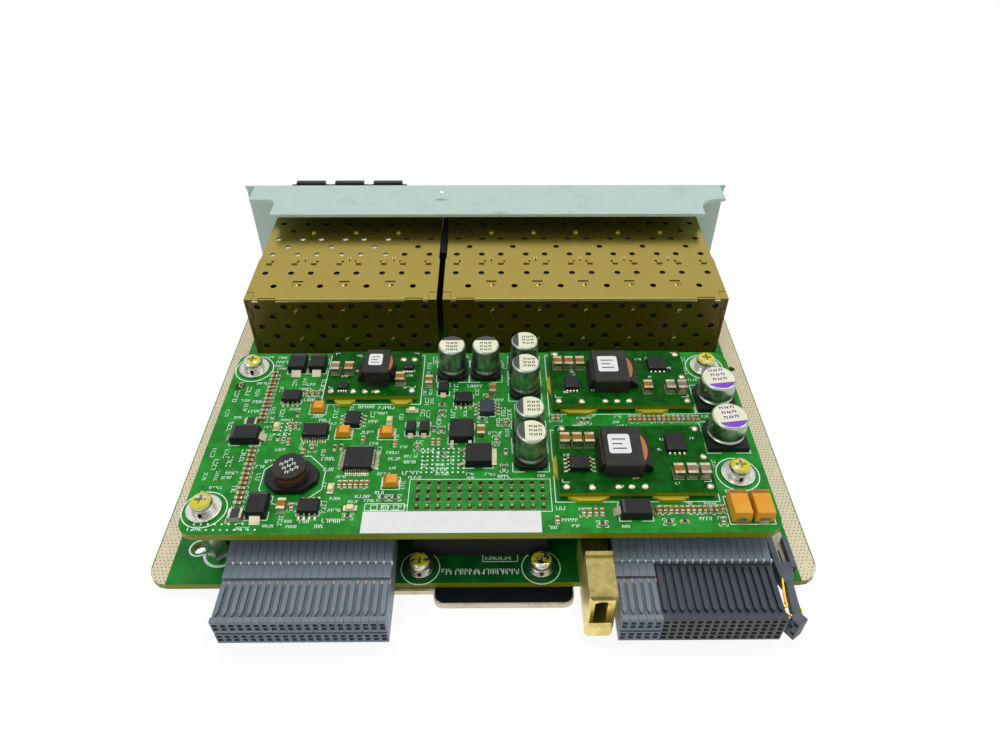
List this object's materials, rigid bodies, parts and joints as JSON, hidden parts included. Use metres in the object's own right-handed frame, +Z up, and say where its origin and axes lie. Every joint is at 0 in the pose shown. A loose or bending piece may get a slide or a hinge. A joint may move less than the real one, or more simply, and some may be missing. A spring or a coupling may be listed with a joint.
{
  "type": "switch line card",
  "caption": "Network switch card: stacked perforated port cages behind a bent steel panel, a raised power board with converter modules, and edge connectors for a backplane.",
  "frame": {"origin": "bottom centre of the box round the whole card", "axes": "+X across the card, +Y from the backplane edge to the front panel, +Z up from the component side of the main board"},
  "size_m": [0.1698, 0.1712, 0.0342],
  "materials": {
    "main_board": "green solder resist over glass-fibre laminate",
    "power_board": "green solder resist over glass-fibre laminate",
    "converter_board": "dark green solder resist",
    "panel_steel": "galvanised",
    "plate_steel": "nickel plated",
    "fastener_steel": "zinc plated",
    "cage_sheet": "nickel-silver sheet",
    "black_film": "smooth",
    "black_plastic": "moulded",
    "plug_rubber": "matt",
    "connector_plastic": "slate moulding",
    "contact_metal": "gold plated",
    "guide_metal": "die-cast, plated",
    "solder": "tinned",
    "label_paper": "printed label left blank",
    "can_aluminium": "coated can",
    "ferrite": "fired, dark",
    "coil_former": "taped winding",
    "copper_wire": "enamelled copper",
    "capacitor_ceramic": "brown body with tinned ends",
    "yellow_pad": "insulating pad",
    "orange_plastic": "moulded",
    "resistor_body": "dark glaze",
    "lamp_lens": "pale lens"
  },
  "bodies": {
    "root": {"main_board": "main_board", "power_board": "power_board", "front_panel": "panel_steel", "stiffener_plate": "plate_steel", "insulating_film": "black_film", "standoffs": "fastener_steel", "board_screws": "fastener_steel", "spring_washers": "fastener_steel", "flat_washers": "fastener_steel", "left_cage_body": "cage_sheet", "left_cage_cover": "cage_sheet", "left_cage_rear": "cage_sheet", "left_cage_dividers": "cage_sheet", "left_cage_spacers": "cage_sheet", "right_cage_body": "cage_sheet", "right_cage_cover": "cage_sheet", "right_cage_rear": "cage_sheet", "right_cage_dividers": "cage_sheet", "right_cage_spacers": "cage_sheet", "left_port_connectors": "black_plastic", "right_port_connectors": "black_plastic", "port_plugs": "plug_rubber", "left_connector_faces": "connector_plastic", "left_connector_wafers": "connector_plastic", "right_connector_faces": "connector_plastic", "right_connector_housing": "connector_plastic", "right_connector_wafers": "connector_plastic", "broken_wafer_frame": "connector_plastic", "broken_wafer_arm": "connector_plastic", "bent_contacts": "contact_metal", "guide_block": "guide_metal", "header_socket": "black_plastic", "header_pins": "solder", "board_label": "label_paper", "electrolytic_cans": "can_aluminium", "polymer_cans": "can_aluminium", "can_bases": "black_plastic", "rear_converter_board": "converter_board", "front_converter_board": "converter_board", "left_converter_board": "converter_board", "converter_cores": "ferrite", "converter_coils": "coil_former", "converter_chips": "black_plastic", "converter_capacitors": "capacitor_ceramic", "converter_pins": "solder", "converter_pads": "yellow_pad", "choke_core": "ferrite", "choke_base": "black_plastic", "choke_coil": "copper_wire", "tantalum_capacitors": "orange_plastic", "control_chip": "black_plastic", "logic_chips": "black_plastic", "power_transistors": "black_plastic", "component_leads": "solder", "rectifier_diodes": "black_plastic", "chip_capacitors": "capacitor_ceramic", "chip_resistors": "resistor_body", "indicator_lamps": "lamp_lens"}
  },
  "joints": []
}
